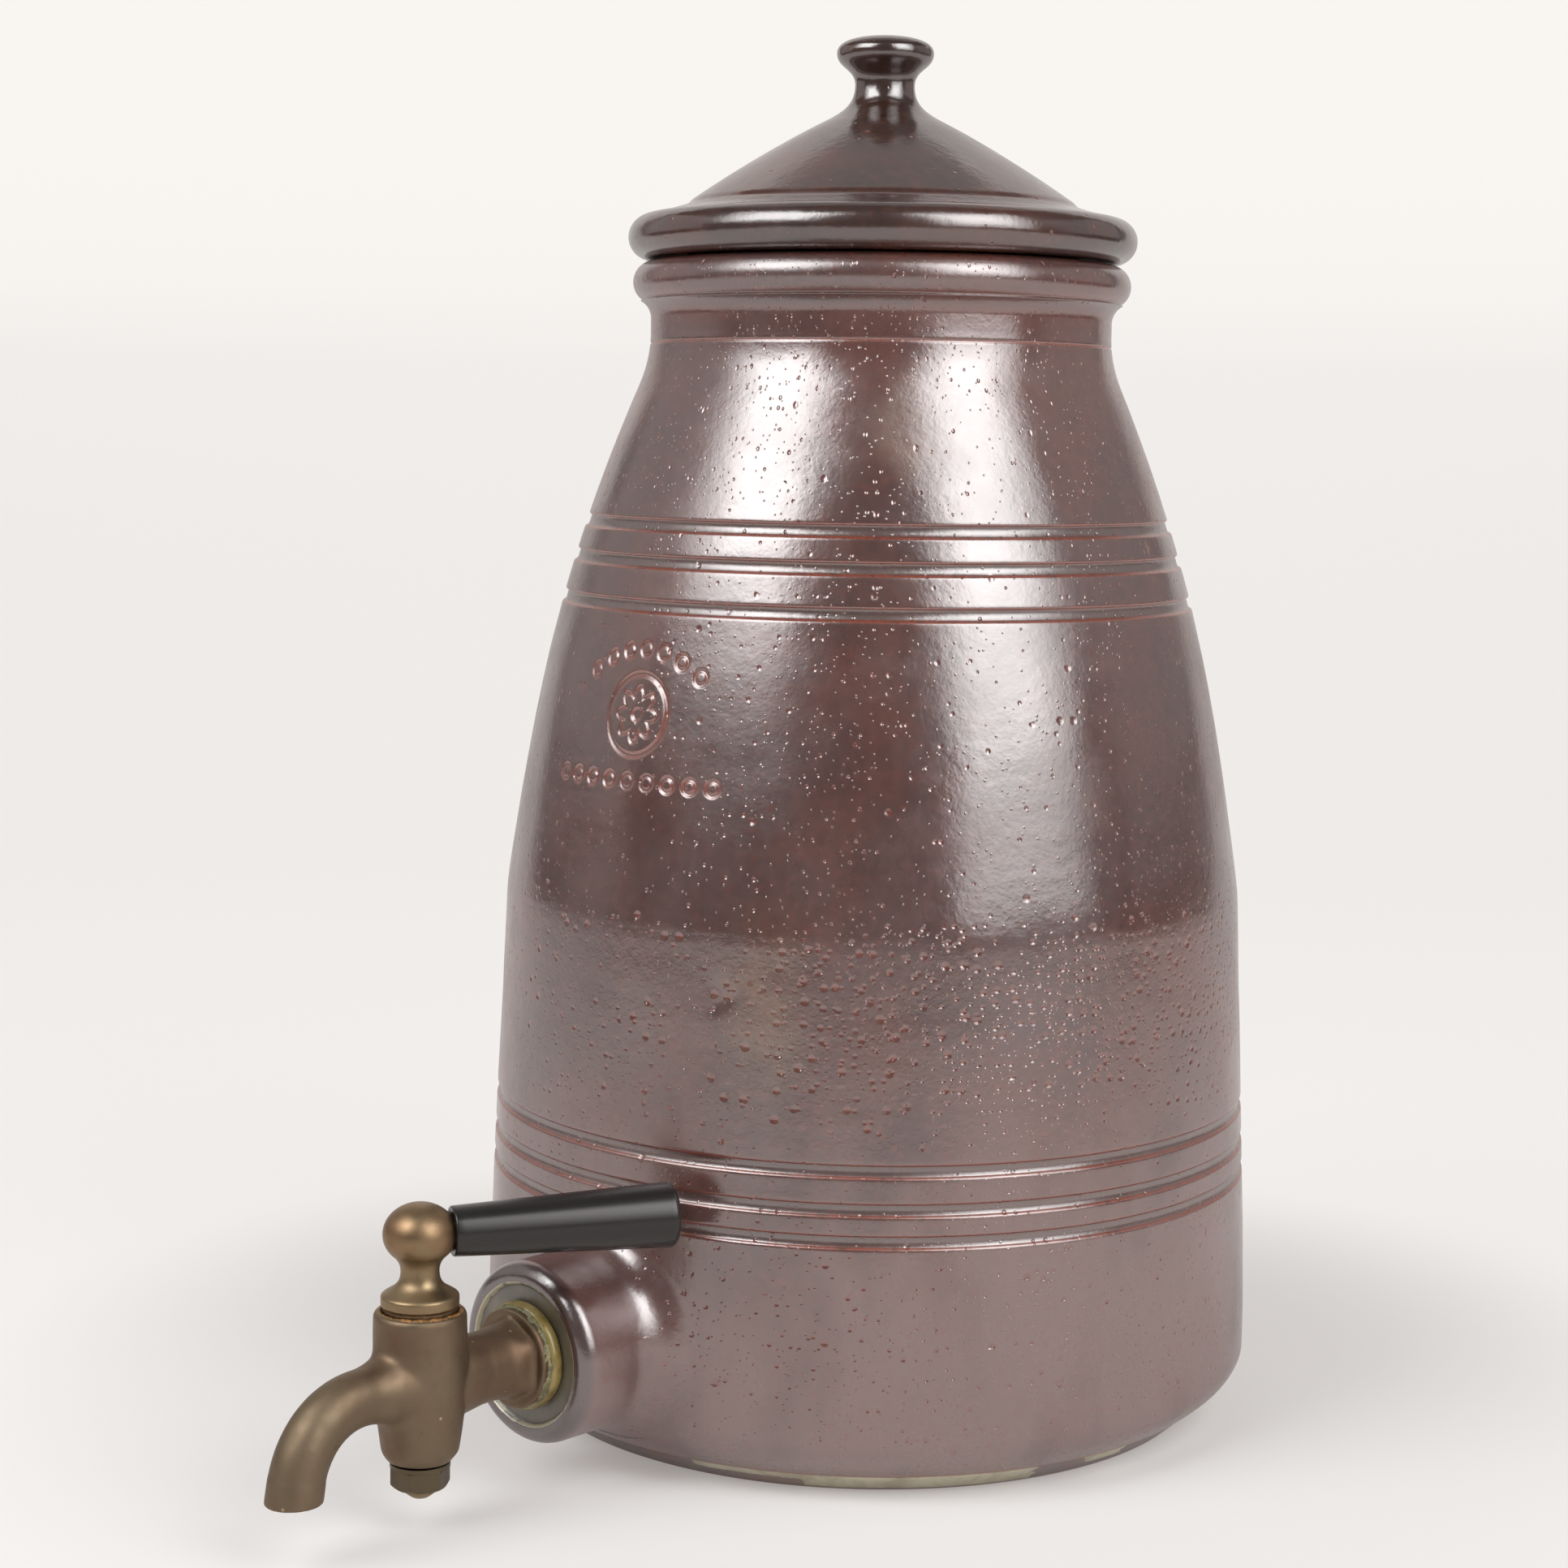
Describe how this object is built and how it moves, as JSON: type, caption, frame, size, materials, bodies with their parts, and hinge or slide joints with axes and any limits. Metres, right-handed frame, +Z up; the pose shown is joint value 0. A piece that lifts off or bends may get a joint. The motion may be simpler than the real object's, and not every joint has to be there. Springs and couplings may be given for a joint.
{
  "type": "stoneware water crock with tap",
  "caption": "Tall glazed stoneware water crock with a loose domed lid and a brass plug tap with a tapered black lever grip, set in a boss just above the foot.",
  "frame": {"origin": "centre of the flat underside, on the pot's axis, at the table", "axes": "+Z up along the pot's axis, -Y out along the tap from the pot towards the spout, +X to the right when the tap is faced"},
  "size_m": [0.198, 0.2945, 0.3482],
  "materials": {
    "crock_glaze": "gloss",
    "lid_glaze": "gloss",
    "amber_rubber": "satin",
    "black_rubber": "matte",
    "tap_brass": "aged satin",
    "plug_brass": "aged satin",
    "clean_brass": "satin",
    "rod_steel": "satin",
    "grip_black": "satin"
  },
  "bodies": {
    "crock_and_tap": {"crock": "crock_glaze", "outer_seal": "amber_rubber", "tap_body": "tap_brass", "inner_seal": "black_rubber", "inner_washer": "clean_brass", "back_nut": "clean_brass"},
    "lid": {"lid": "lid_glaze"},
    "lever": {"tap_plug": "plug_brass", "plug_washer": "plug_brass", "plug_nut": "plug_brass", "lever_rod": "rod_steel", "lever_grip": "grip_black"}
  },
  "joints": [
    {"name": "lid_lift", "type": "slide", "parent": "crock_and_tap", "child": "lid", "axis": [0, 0, 1], "range_m": [0, 0.12]},
    {"name": "lever_turn", "type": "hinge", "parent": "crock_and_tap", "child": "lever", "pos_m": [0, -0.1529, 0.0335], "axis": [0, 0, -1], "range_deg": [0, 304]}
  ]
}
